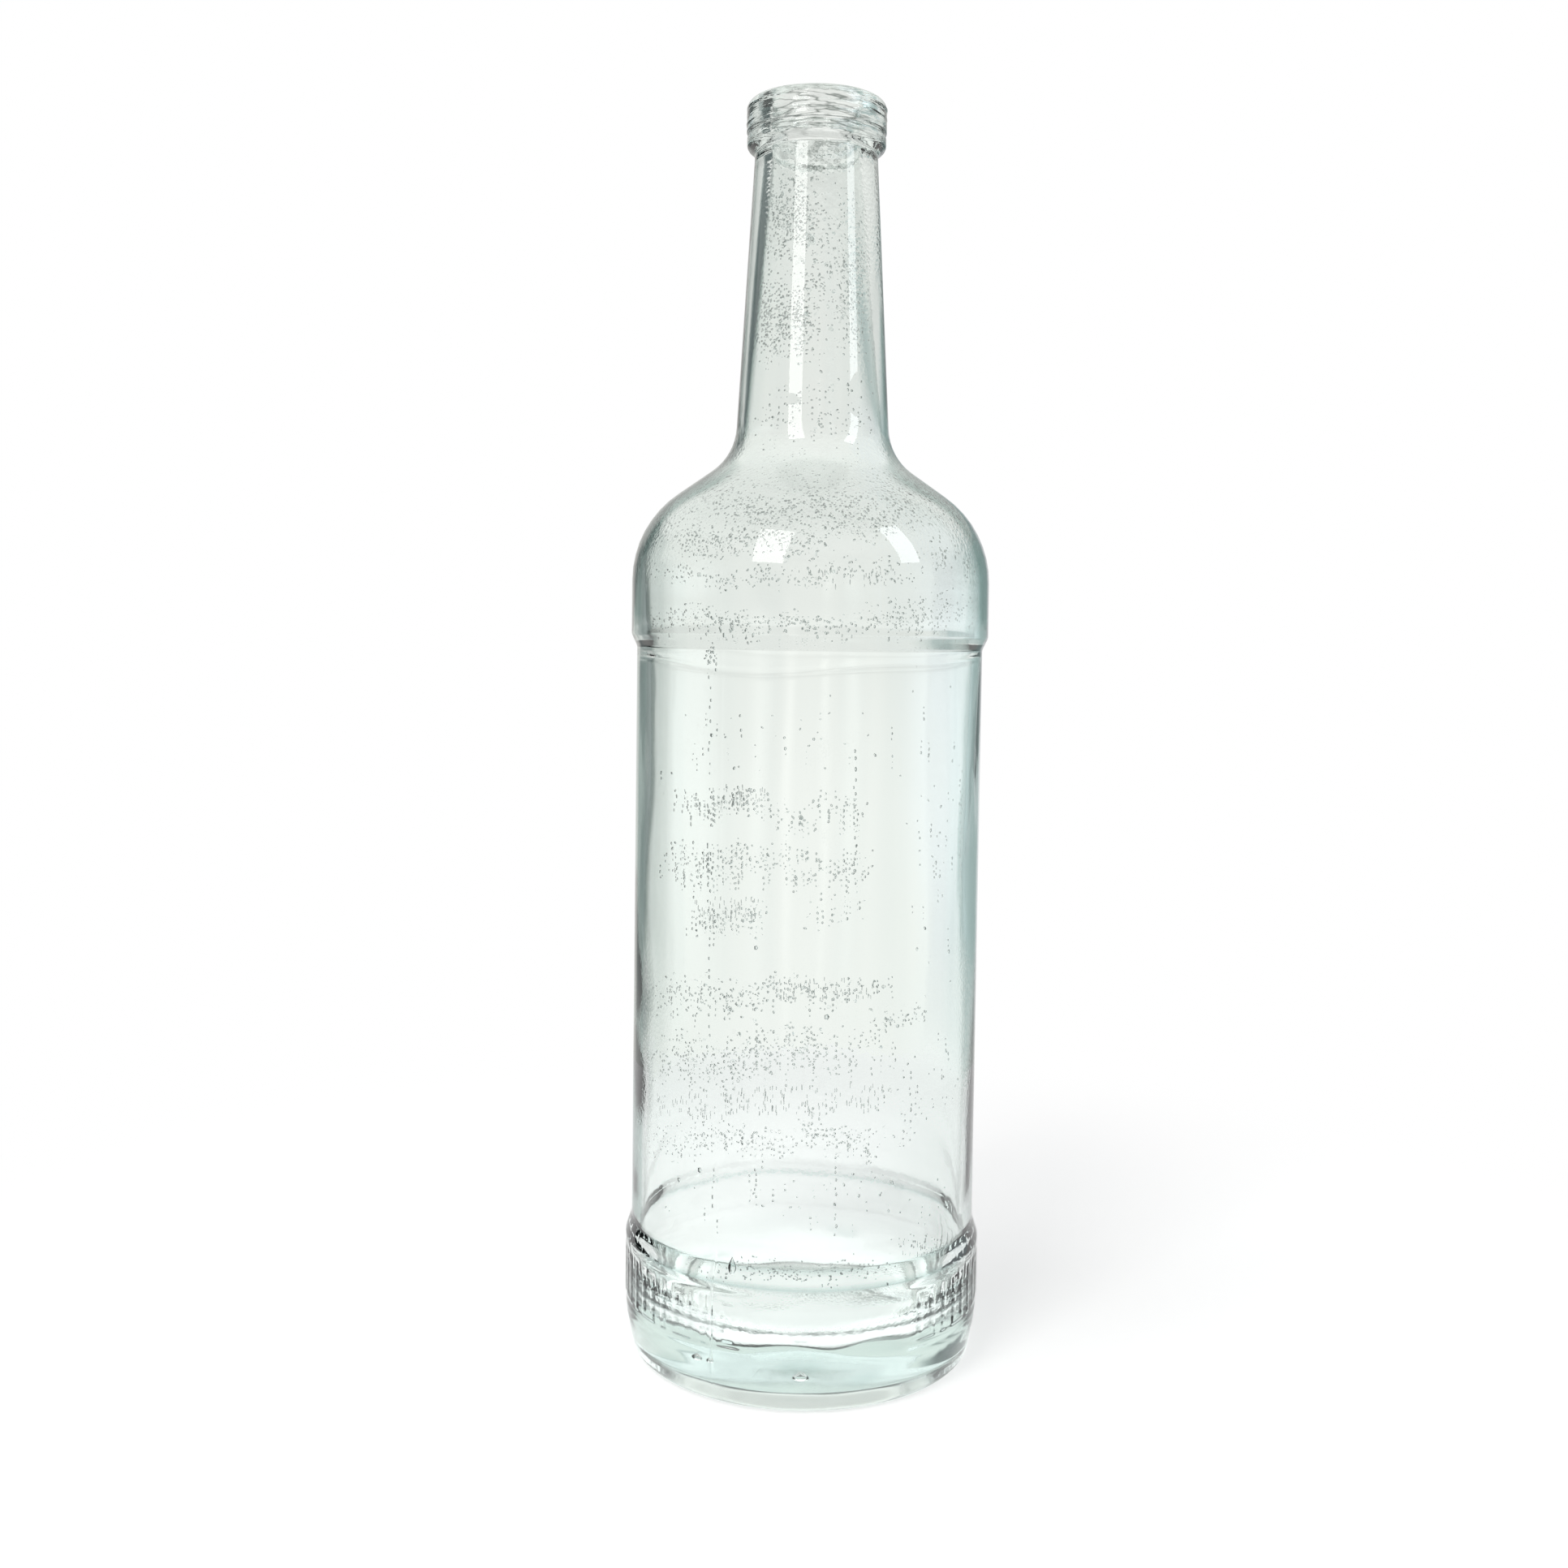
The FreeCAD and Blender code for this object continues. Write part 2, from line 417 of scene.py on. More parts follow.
def frieze(height):
    """Share of the sunk band that carries the ornament."""
    rise = smooth(height, FRIEZE_BAND[0] - FRIEZE_SOFT, FRIEZE_BAND[0])
    fall = smooth(height, FRIEZE_BAND[1], FRIEZE_BAND[1] + FRIEZE_SOFT)
    return rise - fall


def inner_wave(angle, height):
    """How far the blown inside leaves its even form, in millimetres towards the glass."""
    wave = BROAD_WAVE * math.sin(2 * angle + 0.7) * math.sin(height / 23.0 + 0.4)
    wave += SLOPING_WAVE * math.sin(5 * angle + height / 31.0)
    wave += FINE_WAVE * math.sin(9 * angle - height / 14.0 + 1.9)
    wave += PANEL_WAVE * math.sin(3 * angle + height / 6.5) * smooth(height, *PANEL_RISE)
    thick = smooth(height, *THICK_RISE) - smooth(height, *THICK_FALL)
    thick *= 0.65 + 0.35 * math.sin(height / 3.4)
    wave -= THICK_DEPTH * thick * side_share(angle, *THICK_SIDE)
    ridge_height = RIDGE_HEIGHT - RIDGE_SWING * math.cos(2 * angle + 0.5) + 0.5 * math.sin(5 * angle)
    ridge = -RIDGE_DEPTH * math.exp(-((height - ridge_height) / RIDGE_WIDTH) ** 2)
    return wave * come_and_go(height, WAVE_RISE, WAVE_FALL) + ridge


def shoulder_wave(angle, height):
    """How far the mould's wavy skin falls short of the shoulder's even form, in millimetres."""
    wave = math.sin(7 * angle + height / 2.6) * math.sin(height / 3.4 + 2.0 * math.sin(3 * angle))
    return SHOULDER_DEPTH * (1.0 - wave) / 2 * between(height, *SHOULDER_ROWS, SHOULDER_SOFT)


def finish_ripple(angle, height):
    """Fine uneven rings on the lip, left by the neck ring of the mould and by wear, in millimetres."""
    low, high = RING_ROWS
    if not low < height < high:
        return 0.0
    tilt = 0.45 * math.sin(angle + 0.8) + 0.2 * math.sin(4 * angle + 0.3) + 0.1 * math.sin(9 * angle + height)
    ring = math.sin((height + tilt) * 2 * math.pi / RING_PITCHES[0])
    ring += 0.7 * math.sin((height - 0.6 * tilt) * 2 * math.pi / RING_PITCHES[1] + 1.3)
    uneven = 0.55 + 0.45 * math.sin(3 * angle + 1.1 * height)
    ends = smooth(height, low, low + RING_ENDS[0]) * (1.0 - smooth(height, high - RING_ENDS[1], high))
    return RING_DEPTH * ring * uneven * ends


def floor_wave(angle, radius):
    """How far the floor inside leaves its even form, in millimetres."""
    swell = FLOOR_SWELL * math.sin(3 * angle + 0.6) * smooth(radius, *SWELL_RISE)
    swell += FLOOR_RIPPLE * math.sin(7 * angle + radius / 3.1) * smooth(radius, *RIPPLE_RISE)
    for across, back, rise, spread in FLOOR_LUMPS:
        apart = math.hypot(radius * math.sin(angle) - across, -radius * math.cos(angle) - back)
        swell += rise * math.exp(-(apart / spread) ** 2)
    return swell * (1.0 - smooth(radius, *FLOOR_EDGE))


def dew_at(angle, height):
    """How misted the inside of the glass is."""
    left = side_share(angle, *DRY_LEFT)
    right = side_share(angle, *DRY_RIGHT) * (1.0 - smooth(height, *DRY_RIGHT_FALL))
    neck = come_and_go(height, *NECK_DEW) * (1.0 - DRY_SHARE * max(left, right)) * NECK_DEW_SHARE
    shoulder = come_and_go(height, *SHOULDER_DEW) * SHOULDER_DEW_SHARE
    panel = come_and_go(height, *PANEL_DEW) * PANEL_DEW_SHARE
    floor = (1.0 - smooth(height, *FLOOR_DEW_FALL)) * FLOOR_DEW_SHARE
    return min(1.0, neck + shoulder + panel + floor)


def edge_shade_at(angle, height):
    """How much painted shade the outside takes at a slant: most on the panel and the shoulder, little on heel
    and lip.
    """
    right = side_share(angle, *SHADE_RIGHT)
    left = side_share(angle, *SHADE_LEFT)
    skin = LIP_EDGE_SHADE * smooth(height, *LIP_ROWS)
    for low, high, soft, share, more_left, more_right in EDGE_SHADE_ZONES:
        skin += (share + more_left * left + more_right * right) * between(height, low, high, soft)
    return skin


def inner_shade_lines_at(angle, height):
    """The same painted shade for the inside: a dark line down the left of the neck, a paler one low on the
    right.
    """
    skin = 0.0
    for middle, spread, low, high, soft, share in INNER_SHADE_LINES:
        skin += share * side_share(angle, middle, spread) * between(height, low, high, soft)
    return skin


def wear_and_shade_at(angle, height):
    """How streaked the finish is, as scuffs and as dark streaks of painted shade: less at the sides and on
    top of the lip.
    """
    calm = max(side_share(angle, *side) for side in STREAK_SIDES)
    wear = smooth(height, *STREAK_RISE) * (1.0 - STREAK_SIDES_LESS * calm)
    return wear * (1.0 - STREAK_TOP_LESS * smooth(height, *STREAK_TOP))


def ledge_shade_and_patches_at(angle, height):
    """How much teal-grey the outside takes: painted shade in fine rings on the ledge, and patches low on the
    heel.
    """
    rings = 0.0
    for low, high, share, more in LEDGE_SHADE_RINGS:
        rings += share * (1.0 + more * math.cos(angle)) * between(height, low, high, LEDGE_SHADE_SOFT)
    lumps = math.sin(7.0 * angle + 0.6) + math.sin(11.0 * angle - 0.35 * height)
    lumps += math.sin(4.0 * angle + 0.5 * height + 2.0)
    patches = smooth(lumps, *PATCH_LEVELS) * between(height, *PATCH_ROWS, PATCH_ROWS_SOFT)
    return rings + PATCH_SHARE * patches


def chill_at(height, is_inside):
    """How dull and plain the glass is."""
    if is_inside:
        return 1.0 - smooth(height, *FLOOR_CHILL)
    return FOOT_SHARE * (1.0 - smooth(height, *FOOT_CHILL))


def angle_of(place):
    """Angle round the bottle from its front."""
    return math.atan2(place.x, -place.y)


def mark_shell(piece, inside):
    """Note on each vertex what the material reads there."""
    marks = {"edge": [], "chill": [], "skin": [], "dew": [], "wear": []}
    for vertex in piece.data.vertices:
        angle = angle_of(vertex.co)
        height = vertex.co.z / MM
        radius = math.hypot(vertex.co.x, vertex.co.y) / MM
        is_inside = height > FLOOR_LEAST and radius < inside_radius(inside, height) + WALL_HALF
        marks["chill"].append(chill_at(height, is_inside))
        # The skin mark is painted shade at a slant, on the outside and in lines down the inside
        marks["skin"].append(inner_shade_lines_at(angle, height) if is_inside else edge_shade_at(angle, height))
        marks["dew"].append(dew_at(angle, height) if is_inside else 0.0)
        # The wear mark drives the lip's scuffs and its dark streaks of painted shade
        marks["wear"].append(0.0 if is_inside else wear_and_shade_at(angle, height))
        # The edge mark is painted shade in rings on the ledge, with teal-grey patches low on the heel
        marks["edge"].append(0.0 if is_inside else ledge_shade_and_patches_at(angle, height))
    for name, values in marks.items():
        attribute = piece.data.attributes.new(name, "FLOAT", "POINT")
        attribute.data.foreach_set("value", values)


def inside_radius(inside, height):
    """Radius of the blown inside at a height."""
    if height > inside[0].imag:
        return inside[0].real
    if height < FLOOR_CORNER:
        return HEEL_INSIDE
    return radius_at(inside, height)


def build_mesh(name, vertices, faces):
    """A smooth piece of its own."""
    mesh = bpy.data.meshes.new(name)
    mesh.from_pydata(vertices, [], faces)
    mesh.update()
    mesh.shade_smooth()
    piece = bpy.data.objects.new(name, mesh)
    bpy.context.collection.objects.link(piece)
    return piece


def make_shell():
    """The bottle's glass as one closed skin, moulded outside and blown inside."""
    path = cut_at(rounded(OUTSIDE + INSIDE), HEEL_ROWS + RIDGE_ROWS)
    top = max(range(len(path)), key=lambda index: (path[index].imag, -path[index].real))
    outside = divided(path[:top + 1], False)
    inside = divided(path[top:], True)
    rows = outside[1:] + inside[1:-1]
    angles = column_angles()
    count = len(angles)
    vertices = []
    for number, point in enumerate(rows):
        is_inside = number >= len(outside) - 1
        for angle in angles:
            radius = point.real
            height = point.imag
            if is_inside:
                height += floor_wave(angle, radius) * (1.0 - smooth(height, *FLOOR_TOP))
                radius += inner_wave(angle, height)
            else:
                radius += seam_ridge(angle, height) + finish_ripple(angle, height) - SKIN_INSET
                radius -= shoulder_wave(angle, height)
            vertices.append((radius * MM * math.sin(angle), -radius * MM * math.cos(angle), height * MM))
    faces = []
    for row in range(len(rows) - 1):
        for column in range(count):
            following = (column + 1) % count
            first = row * count
            second = first + count
            faces.append((first + column, first + following, second + following, second + column))
    bottom = len(vertices)
    vertices.append((0.0, 0.0, outside[0].imag * MM))
    floor = len(vertices)
    vertices.append((0.0, 0.0, inside[-1].imag * MM))
    last = (len(rows) - 1) * count
    for column in range(count):
        following = (column + 1) % count
        faces.append((bottom, following, column))
        faces.append((floor, last + column, last + following))
    piece = build_mesh("bottle_glass", vertices, faces)
    raise_ornament(piece, outside)
    add_bubbles(piece)
    mark_shell(piece, inside)
    return piece


def raise_ornament(piece, outside):
    """Divide the heel band finely and raise the ornament out of it."""
    shape = bmesh.new()
    shape.from_mesh(piece.data)
    low = (FRIEZE_BAND[0] - 2 * FRIEZE_SOFT) * MM
    high = (FRIEZE_BAND[1] + 2 * FRIEZE_SOFT) * MM
    least = (BAND_RADIUS - BAND_DEPTH) * MM

    def on_band(vertex):
        if not low < vertex.co.z < high or math.hypot(vertex.co.x, vertex.co.y) < least:
            return False
        return -ORNAMENT_MARGIN < from_gap(angle_of(vertex.co)) < ORNAMENT_RUN + ORNAMENT_MARGIN

    edges = [edge for edge in shape.edges if on_band(edge.verts[0]) and on_band(edge.verts[1])]
    bmesh.ops.subdivide_edges(shape, edges=edges, cuts=FRIEZE_CUTS, use_grid_fill=True)
    for vertex in shape.verts:
        if not on_band(vertex):
            continue
        angle = angle_of(vertex.co)
        height = vertex.co.z / MM
        radius = radius_at(outside, height) - SKIN_INSET + seam_ridge(angle, height)
        ends = smooth(from_gap(angle), -ORNAMENT_FADE, 0.0)
        ends -= smooth(from_gap(angle), ORNAMENT_RUN, ORNAMENT_RUN + ORNAMENT_FADE)
        radius += ORNAMENT_RELIEF * (ornament(angle, height) - 1.0) * frieze(height) * ends
        vertex.co.x = radius * MM * math.sin(angle)
        vertex.co.y = -radius * MM * math.cos(angle)
    bmesh.ops.recalc_face_normals(shape, faces=shape.faces[:])
    shape.to_mesh(piece.data)
    shape.free()
    piece.data.shade_smooth()


def add_bubbles(piece):
    """Bubbles in the glass, their skins turned towards the air in them."""
    shape = bmesh.new()
    shape.from_mesh(piece.data)
    skin = []
    for bubble in BUBBLES:
        skin += bubble_skin(shape, *bubble)
    bmesh.ops.recalc_face_normals(shape, faces=skin)
    bmesh.ops.reverse_faces(shape, faces=skin)
    shape.to_mesh(piece.data)
    shape.free()
    piece.data.shade_smooth()


def bubble_skin(shape, angle, radius, foot, tall, half_width, half_depth):
    """One bubble, wider below its middle."""
    outward = Vector((math.sin(angle), -math.cos(angle), 0.0))
    aside = Vector((math.cos(angle), math.sin(angle), 0.0))
    bottom_place = outward * radius + Vector((0.0, 0.0, foot))
    rings = []
    for row in range(1, BUBBLE_ROWS):
        share = row / BUBBLE_ROWS
        full = math.sin(math.pi * share ** BUBBLE_LEAN)
        ring = []
        for side in range(BUBBLE_SIDES):
            around = 2 * math.pi * side / BUBBLE_SIDES
            place = bottom_place + Vector((0.0, 0.0, tall * share))
            place += aside * half_width * full * math.cos(around)
            place += outward * half_depth * full * math.sin(around)
            ring.append(shape.verts.new(place * MM))
        rings.append(ring)
    bottom = shape.verts.new(bottom_place * MM)
    top = shape.verts.new((bottom_place + Vector((0.0, 0.0, tall))) * MM)
    faces = []
    for side in range(BUBBLE_SIDES):
        following = (side + 1) % BUBBLE_SIDES
        faces.append(shape.faces.new((bottom, rings[0][following], rings[0][side])))
        faces.append(shape.faces.new((top, rings[-1][side], rings[-1][following])))
        for lower, upper in zip(rings, rings[1:]):
            faces.append(shape.faces.new((lower[side], lower[following], upper[following], upper[side])))
    return faces


# Glass, as colours and levels of its material
GLASS_IOR = 1.52
WATER_IOR = 1.33
CLEAR = (0.985, 1.0, 0.992)
# Painted shade: the glass darkens towards its edges at a slant, most sharply where the skin mark is
OUTSIDE_SLANT_SHADE = [
    (0.0, CLEAR),
    (0.62, (0.95, 0.985, 0.97)),
    (0.70, (0.19, 0.30, 0.27)),
    (0.85, (0.06, 0.11, 0.10)),
    (1.0, (0.06, 0.11, 0.10)),
]
PLAIN_SLANT_SHADE = [
    (0.0, CLEAR),
    (0.74, (0.92, 0.96, 0.94)),
    (0.88, (0.30, 0.36, 0.34)),
    (1.0, (0.03, 0.04, 0.04)),
]
# Painted shade on the drops: water darkens towards its edges at a slant
WATER_SLANT_SHADE = [
    (0.0, (0.96, 0.98, 0.97)),
    (0.25, (0.86, 0.89, 0.88)),
    (0.60, (0.17, 0.20, 0.20)),
    (1.0, (0.06, 0.08, 0.08)),
]
# Painted shade of the ledge's rings, also the colour of the heel's patches
LEDGE_SHADE_COLOUR = (0.36, 0.50, 0.48)
# Dark streaks on the lip, painted shade
LIP_STREAK_SHADE = (0.10, 0.12, 0.11)
DEPTH_COLOUR = (0.25, 0.78, 0.68)
DEPTH_DENSITY = 3.5
POLISH = 0.006
MIST_SCALE = 60.0
MIST_DETAIL = 6.0
MIST_RANGE = (0.40, 0.68)
MIST_ROUGHNESS = 0.16
CHILL_ROUGHNESS = 0.15
MOULD_SCALE = 95.0
MOULD_DETAIL = 2.0
MOULD_STRETCH = (1.0, 1.0, 0.35)
MOULD_BUMP = (0.3, 0.0002)
BEAD_SCALE = 1100.0
BEAD_BUMP = (0.5, 0.0001)
SCUFF_SCALE = 115.0
SCUFF_DETAIL = 2.5
SCUFF_STRETCH = (1.0, 1.0, 6.0)
SCUFF_MIDDLE = 0.5
SCUFF_BUMP = (0.9, 0.0005)
STREAK_RANGE = (0.006, 0.065)
FILM_SCALE = 300.0
FILM_DETAIL = 2.0
FILM_ROUGHNESS = 0.08
WHOLE = (0.0, 1.0)


def feed(tree, entry, socket):
    """Link an output to a socket, or set the socket to a number or a colour."""
    if isinstance(entry, bpy.types.NodeSocket):
        tree.links.new(entry, socket)
    elif isinstance(entry, tuple):
        socket.default_value = (*entry, 1.0)
    else:
        socket.default_value = entry


def sum_of(tree, operation, *entries):
    """Result of a math node, each entry a number or an output."""
    node = tree.nodes.new("ShaderNodeMath")
    node.operation = operation
    for entry, socket in zip(entries, node.inputs):
        feed(tree, entry, socket)
    return node.outputs["Value"]


def mapped(tree, entry, before, after, ease="LINEAR"):
    """An output moved from one range to another."""
    node = tree.nodes.new("ShaderNodeMapRange")
    node.interpolation_type = ease
    node.inputs["From Min"].default_value = before[0]
    node.inputs["From Max"].default_value = before[1]
    node.inputs["To Min"].default_value = after[0]
    node.inputs["To Max"].default_value = after[1]
    feed(tree, entry, node.inputs["Value"])
    return node.outputs["Result"]


def mixed(tree, share, first, second):
    """Colour that passes from the first to the second as the share grows."""
    node = tree.nodes.new("ShaderNodeMixRGB")
    feed(tree, share, node.inputs["Fac"])
    feed(tree, first, node.inputs["Color1"])
    feed(tree, second, node.inputs["Color2"])
    return node.outputs["Color"]


def ramped(tree, entry, stops):
    """Colour along a ramp of positions and colours, where a number stands for a grey."""
    node = tree.nodes.new("ShaderNodeValToRGB")
    elements = node.color_ramp.elements
    elements[0].position = stops[0][0]
    elements[1].position = stops[-1][0]
    for position, _ in stops[1:-1]:
        elements.new(position)
    for element, (_, colour) in zip(elements, stops):
        if isinstance(colour, float):
            colour = (colour, colour, colour)
        element.color = (*colour, 1.0)
    feed(tree, entry, node.inputs["Fac"])
    return node.outputs["Color"]


def marked(tree, name):
    """The number that each vertex keeps under a name."""
    node = tree.nodes.new("ShaderNodeAttribute")
    node.attribute_name = name
    return node.outputs["Fac"]


def stretched(tree, place, scale):
    """A place scaled by its own factor along each axis."""
    node = tree.nodes.new("ShaderNodeMapping")
    node.inputs["Scale"].default_value = scale
    feed(tree, place, node.inputs["Vector"])
    return node.outputs["Vector"]


def noise(tree, place, scale, detail):
    """Soft noise at a place."""
    node = tree.nodes.new("ShaderNodeTexNoise")
    node.inputs["Scale"].default_value = scale
    node.inputs["Detail"].default_value = detail
    feed(tree, place, node.inputs["Vector"])
    return node.outputs["Fac"]


def bumped(tree, height, bump, under=None):
    """Normal of a surface raised by a height, over another normal if one is given."""
    node = tree.nodes.new("ShaderNodeBump")
    node.inputs["Strength"].default_value = bump[0]
    node.inputs["Distance"].default_value = bump[1]
    feed(tree, height, node.inputs["Height"])
    if under is not None:
        feed(tree, under, node.inputs["Normal"])
    return node.outputs["Normal"]


def slant_of(tree):
    """0 where the surface faces the eye, up to 1 where it turns away."""
    node = tree.nodes.new("ShaderNodeLayerWeight")
    node.inputs["Blend"].default_value = 0.5
    return node.outputs["Facing"]


def object_place(tree):
    """Place on the piece, in metres."""
    return tree.nodes.new("ShaderNodeTexCoord").outputs["Object"]


def clear_material(name, refraction):
    """A new see-through material with its tree, shader and output."""
    material = bpy.data.materials.new(name)
    material.use_nodes = True
    tree = material.node_tree
    tree.nodes.clear()
    output = tree.nodes.new("ShaderNodeOutputMaterial")
    shader = tree.nodes.new("ShaderNodeBsdfPrincipled")
    shader.inputs["IOR"].default_value = refraction
    shader.inputs["Transmission Weight"].default_value = 1.0
    feed(tree, shader.outputs["BSDF"], output.inputs["Surface"])
    return material, tree, shader, output


def glass_material():
    """Soda-lime glass: faintly green, with painted shade where it is met at a slant, rippled, and misted
    inside.
    """
    material, tree, shader, output = clear_material("clear_glass", GLASS_IOR)
    place = object_place(tree)
    slant = slant_of(tree)
    chill = marked(tree, "chill")
    dew = marked(tree, "dew")
    # The wear mark carries the lip's scuffs, for the bump, and its painted shade, for the dark streaks
    wear = marked(tree, "wear")
    scuff = noise(tree, stretched(tree, place, SCUFF_STRETCH), SCUFF_SCALE, SCUFF_DETAIL)

    # Colour: painted shade at a slant, plain on the floor inside, painted shade rings on the ledge with
    # patches on the heel, and dark streaks of painted shade on the lip
    colour = ramped(tree, slant, PLAIN_SLANT_SHADE)
    colour = mixed(tree, marked(tree, "skin"), colour, ramped(tree, slant, OUTSIDE_SLANT_SHADE))
    colour = mixed(tree, chill, colour, CLEAR)
    colour = mixed(tree, marked(tree, "edge"), colour, LEDGE_SHADE_COLOUR)
    apart = sum_of(tree, "ABSOLUTE", sum_of(tree, "SUBTRACT", scuff, SCUFF_MIDDLE))
    streak_shade = sum_of(tree, "MULTIPLY", mapped(tree, apart, STREAK_RANGE, (1.0, 0.0)), wear)
    colour = mixed(tree, streak_shade, colour, LIP_STREAK_SHADE)
    feed(tree, colour, shader.inputs["Base Color"])

    # Roughness: mist in patches and a chilled floor
    mist = noise(tree, place, MIST_SCALE, MIST_DETAIL)
    mist = mapped(tree, mist, MIST_RANGE, (0.0, MIST_ROUGHNESS))
    misted = sum_of(tree, "MULTIPLY_ADD", mist, dew, POLISH)
    feed(tree, sum_of(tree, "MULTIPLY_ADD", chill, CHILL_ROUGHNESS, misted), shader.inputs["Roughness"])

    # Surface: the mould's ripples, beads of mist and the scuffed lip
    ripple = noise(tree, stretched(tree, place, MOULD_STRETCH), MOULD_SCALE, MOULD_DETAIL)
    normal = bumped(tree, ripple, MOULD_BUMP)
    beads = tree.nodes.new("ShaderNodeTexVoronoi")
    beads.inputs["Scale"].default_value = BEAD_SCALE
    feed(tree, place, beads.inputs["Vector"])
    normal = bumped(tree, sum_of(tree, "MULTIPLY", beads.outputs["Distance"], dew), BEAD_BUMP, normal)
    normal = bumped(tree, sum_of(tree, "MULTIPLY", scuff, wear), SCUFF_BUMP, normal)
    feed(tree, normal, shader.inputs["Normal"])

    depth = tree.nodes.new("ShaderNodeVolumeAbsorption")
    feed(tree, DEPTH_COLOUR, depth.inputs["Color"])
    depth.inputs["Density"].default_value = DEPTH_DENSITY
    feed(tree, depth.outputs["Volume"], output.inputs["Volume"])
    return material


def water_material():
    """Clear water, with painted shade where it is met at a slant."""
    material, tree, shader, _ = clear_material("water", WATER_IOR)
    feed(tree, ramped(tree, slant_of(tree), WATER_SLANT_SHADE), shader.inputs["Base Color"])
    film = noise(tree, object_place(tree), FILM_SCALE, FILM_DETAIL)
    feed(tree, mapped(tree, film, WHOLE, (0.0, FILM_ROUGHNESS)), shader.inputs["Roughness"])
    return material


# Patches of small drops on the inside, seen in the photograph: left, top, right, bottom, drops, radius, trail
DROP_PATCHES = [
    (946, 195, 1000, 330, 450, 0.21, 0.1),
    (940, 330, 1000, 455, 430, 0.21, 0.1),
    (1000, 200, 1040, 450, 170, 0.19, 0.1),
    (1036, 230, 1078, 455, 360, 0.21, 0.1),
    (928, 455, 1080, 570, 110, 0.23, 0.2),
    (900, 575, 1110, 620, 170, 0.20, 0.0),
    (850, 605, 1165, 650, 760, 0.21, 0.0),
    (825, 640, 1000, 692, 420, 0.21, 0.0),
    (1010, 630, 1150, 668, 150, 0.21, 0.0),
    (808, 696, 960, 730, 110, 0.20, 0.1),
    (950, 684, 1120, 728, 90, 0.20, 0.1),
    (1140, 655, 1202, 715, 50, 0.24, 0.4),
    (806, 745, 935, 788, 170, 0.22, 0.1),
    (935, 752, 1085, 788, 120, 0.22, 0.1),
    (1085, 728, 1200, 786, 150, 0.22, 0.1),
    (868, 788, 888, 832, 14, 0.26, 0.4),
    (805, 850, 1195, 965, 36, 0.26, 0.3),
    (840, 968, 945, 1005, 70, 0.24, 0.7),
    (950, 975, 1062, 1030, 60, 0.22, 0.6),
    (832, 1030, 945, 1090, 110, 0.24, 0.6),
    (950, 1035, 1062, 1092, 70, 0.22, 0.6),
    (858, 1105, 938, 1150, 70, 0.23, 0.6),
    (1000, 1100, 1062, 1150, 20, 0.22, 0.5),
    (805, 1198, 950, 1256, 170, 0.22, 0.1),
    (950, 1198, 1078, 1240, 110, 0.22, 0.3),
    (1078, 1232, 1132, 1272, 36, 0.22, 0.1),
    (815, 1268, 945, 1342, 260, 0.22, 0.1),
    (945, 1255, 1080, 1330, 160, 0.21, 0.2),
    (812, 1345, 1088, 1375, 20, 0.20, 0.9),
    (798, 1378, 1082, 1424, 300, 0.19, 0.2),
    (1085, 1255, 1195, 1410, 36, 0.24, 0.3),
    (1120, 840, 1202, 1250, 50, 0.28, 0.2),
    (805, 1424, 1190, 1520, 46, 0.24, 0.3),
    (1108, 1516, 1192, 1548, 60, 0.20, 0.1),
    (880, 1545, 1085, 1588, 200, 0.20, 0.0),
]

# Patches of thin upright dashes: left, top, right, bottom, dashes
DASH_PATCHES = [
    (815, 1345, 905, 1378, 60),
    (905, 1338, 1030, 1372, 90),
    (1030, 1335, 1085, 1370, 30),
    (880, 968, 945, 990, 30),
    (860, 1106, 938, 1130, 40),
    (955, 1205, 1080, 1232, 50),
    (1108, 1518, 1190, 1545, 36),
    (980, 700, 1100, 724, 40),
]

# Rows of drops left by trickles: place across, top, bottom, spacing
TRICKLES = [
    (878, 815, 1000, 13.0),
    (877, 1040, 1285, 11.0),
    (1052, 925, 1095, 12.0),
    (1028, 1425, 1525, 9.0),
    (1176, 950, 1120, 8.0),
    (1185, 1090, 1215, 10.0),
    (1118, 1320, 1380, 10.0),
    (933, 1440, 1475, 7.0),
    (882, 1440, 1490, 9.0),
]

# Single large drops: place across and down in the photograph, radius
LONE_DROPS = [
    (1018, 1252, 0.62),
    (866, 1440, 0.60),
    (842, 1452, 0.52),
    (933, 1167, 0.50),
    (1071, 210, 1.30),
    (1065, 1650, 0.90),
]
FRONT_SHARE = 0.62
DROP_SIZE = 0.95
DROP_COUNT = 1.5
PATCH_SOFT = 0.35
PATCH_WAVE = 5.0
DROP_LIFT = 0.02
DROP_SIDES = 5
DROP_RINGS = ((1.0, 0.0), (0.72, 0.68))
DROP_TALL = 0.62
DROP_SIZES = (0.6, 1.35)
DROP_STRETCH = (1.0, 1.8)
DROP_TURN = 1.6
TRAIL_TURN = 0.3
TRAIL_SPREAD = 0.6
TRAIL_SPACING = 7.0
DASH_SIZES = (0.09, 0.13)
DASH_STRETCH = (3.5, 7.0)
DASH_TURN = 0.08
TRICKLE_SIZES = (0.18, 0.30)
TRICKLE_STRETCH = (1.3, 2.2)
TRICKLE_SPREAD = 1.5
TRICKLE_GAPS = (0.6, 1.5)
LONE_STRETCH = 1.15
LEVEL_NORMAL = 0.9
FLOOR_FLAT = 0.8
FLOOR_LIMIT = 15.0
SIGHT_STEP = 1e-5
SEED = 41


def photo_ray(camera, across, down):
    """Direction from the camera through a place in the photograph."""
    middle = PHOTO_SIDE / 2
    ray = Vector((across - middle, middle + CAMERA_SHIFT * PHOTO_SIDE - down, -FOCAL_PIXELS))
    return (camera.matrix_world.to_3x3() @ ray).normalized()


